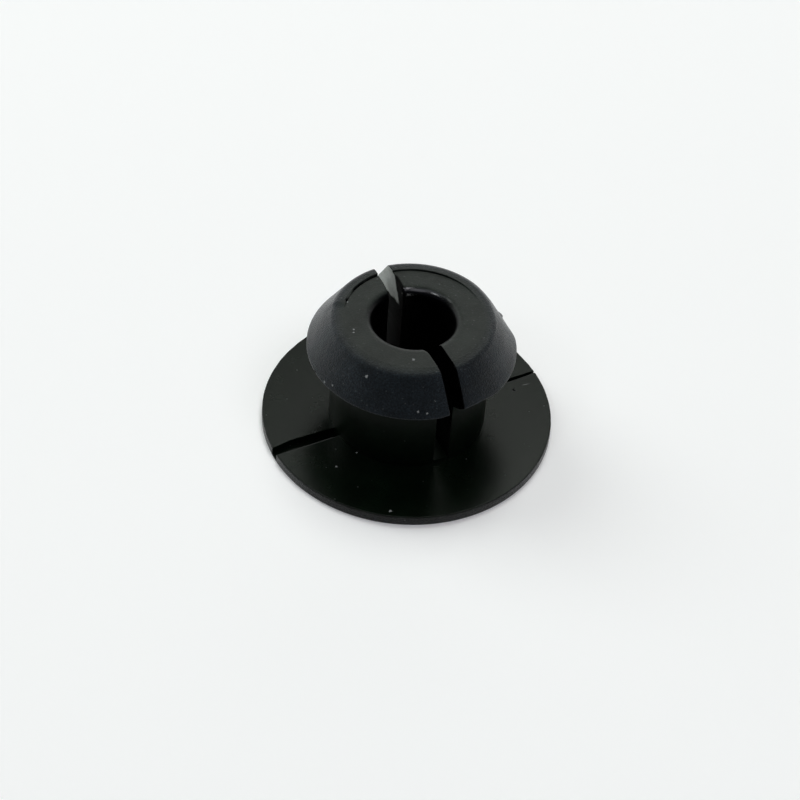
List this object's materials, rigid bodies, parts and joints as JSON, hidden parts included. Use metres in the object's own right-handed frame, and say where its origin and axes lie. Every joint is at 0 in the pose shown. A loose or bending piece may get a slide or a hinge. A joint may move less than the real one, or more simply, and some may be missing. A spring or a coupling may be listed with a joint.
{
  "type": "frame plug",
  "caption": "Round black rubber push-in plug: a thin grooved flange, a neck and a barbed head split by a slot, with a blind bore, for closing a hole in a frame.",
  "frame": {"origin": "centre of the flange's outer face, which is the bottom of the plug as it stands", "axes": "+Z along the plug's axis from the flange to the head; the head's slot runs along Y and the flange's groove along X"},
  "size_m": [0.03, 0.03, 0.0143],
  "materials": {
    "rubber": "matte black moulded rubber with a fine grain"
  },
  "bodies": {
    "root": {"frame_plug": "rubber"}
  },
  "joints": []
}
